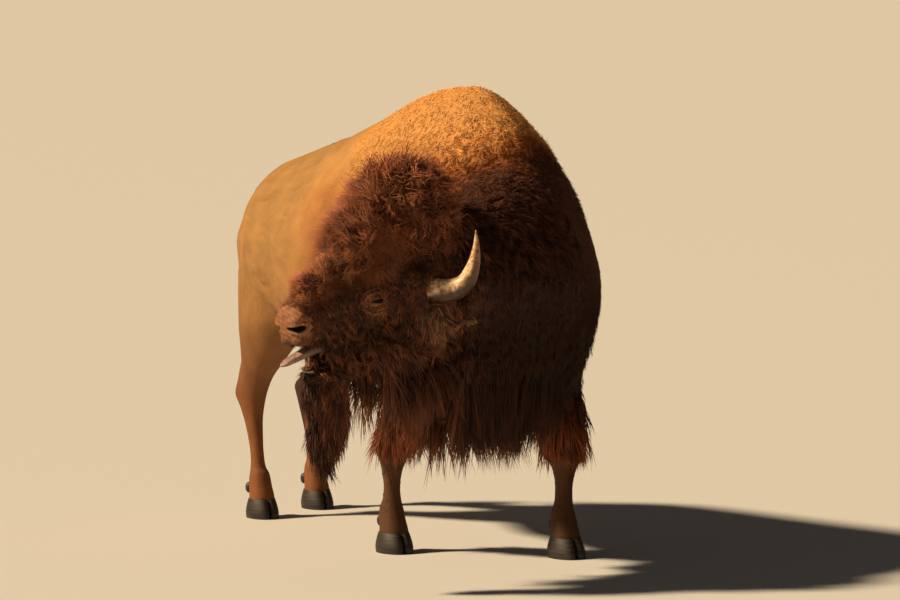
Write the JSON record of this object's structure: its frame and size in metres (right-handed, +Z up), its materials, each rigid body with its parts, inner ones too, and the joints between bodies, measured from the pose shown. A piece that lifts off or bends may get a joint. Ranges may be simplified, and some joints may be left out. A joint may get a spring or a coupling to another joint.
{
  "type": "american bison bull",
  "caption": "Life-size still model of a bull bison standing with its head turned to its right, mouth open and tongue out, in summer coat.",
  "frame": {"origin": "floor level, under the middle of the model's bounding box", "axes": "+Z up. The bull faces -Y, with its left side to +X, and its head is turned to -X"},
  "size_m": [1.675, 2.7552, 1.8058],
  "materials": {
    "dark_wool": "long shaggy dark brown wool, matte",
    "summer_coat": "short flat tan hair, matte",
    "hump_wool": "woolly golden brown curls, matte",
    "horn": "worn pale horn, satin",
    "hoof": "dark hoof horn, satin",
    "eye": "wet dark brown eye",
    "tongue": "damp greyish pink"
  },
  "bodies": {
    "root": {"barrel": "summer_coat", "beard": "dark_wool", "bonnet": "dark_wool", "chest": "dark_wool", "ear_left": "dark_wool", "ear_right": "dark_wool", "eye_left": "eye", "eye_right": "eye", "fore_cannon_left": "summer_coat", "fore_cannon_right": "summer_coat", "fore_dewclaw_left_inner": "hoof", "fore_dewclaw_left_outer": "hoof", "fore_dewclaw_right_inner": "hoof", "fore_dewclaw_right_outer": "hoof", "fore_hoof_left_inner": "hoof", "fore_hoof_left_outer": "hoof", "fore_hoof_right_inner": "hoof", "fore_hoof_right_outer": "hoof", "foreleg_left": "dark_wool", "foreleg_right": "dark_wool", "head": "dark_wool", "hind_cannon_left": "summer_coat", "hind_cannon_right": "summer_coat", "hind_dewclaw_left_inner": "hoof", "hind_dewclaw_left_outer": "hoof", "hind_dewclaw_right_inner": "hoof", "hind_dewclaw_right_outer": "hoof", "hind_hoof_left_inner": "hoof", "hind_hoof_left_outer": "hoof", "hind_hoof_right_inner": "hoof", "hind_hoof_right_outer": "hoof", "hindleg_left": "summer_coat", "hindleg_right": "summer_coat", "hindquarters": "summer_coat", "horn_left": "horn", "horn_right": "horn", "hump": "hump_wool", "lower_jaw": "dark_wool", "neck": "dark_wool", "tail": "summer_coat", "tail_tassel": "dark_wool", "tongue": "tongue"}
  },
  "joints": []
}
